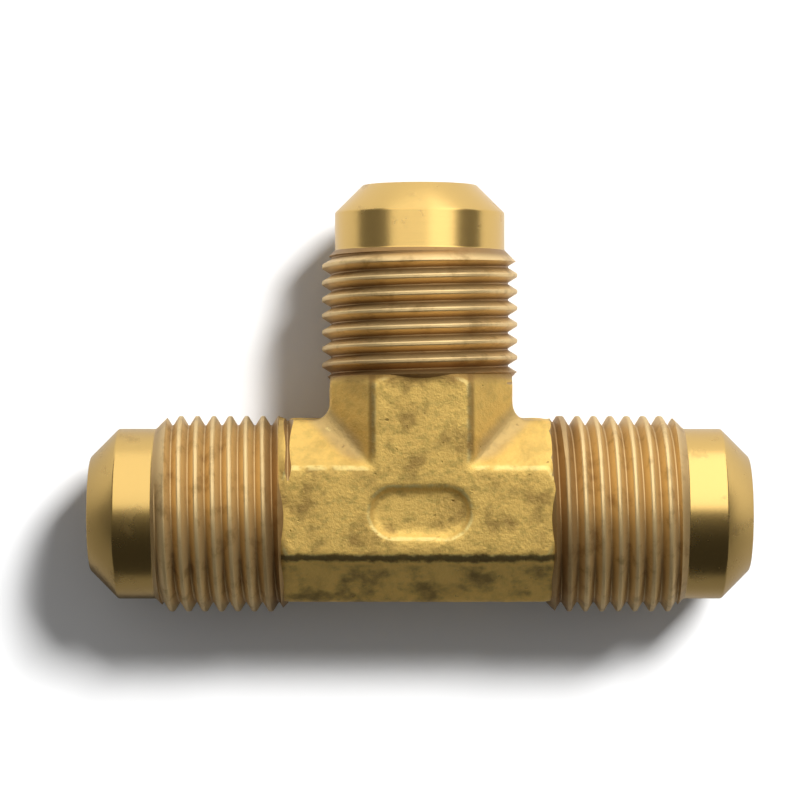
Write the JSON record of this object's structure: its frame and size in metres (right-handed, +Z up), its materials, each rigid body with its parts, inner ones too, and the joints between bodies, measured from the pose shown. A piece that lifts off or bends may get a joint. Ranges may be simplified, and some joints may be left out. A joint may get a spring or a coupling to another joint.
{
  "type": "flare union tee",
  "caption": "Forged brass tee with threaded 45-degree flare ends, which joins a side tube to a straight run of flared tube.",
  "frame": {"origin": "middle of the footprint on the surface that the tee lies on, level with its lowest thread crests", "axes": "+X along the run, from the left end to the right end; +Y along the branch, from the run outwards; +Z up, out of the flat with the oblong pad"},
  "size_m": [0.0636, 0.0412, 0.0189],
  "materials": {
    "brass": "as forged, with turned ends and cut threads"
  },
  "bodies": {
    "root": {"tee_body": "brass"}
  },
  "joints": []
}
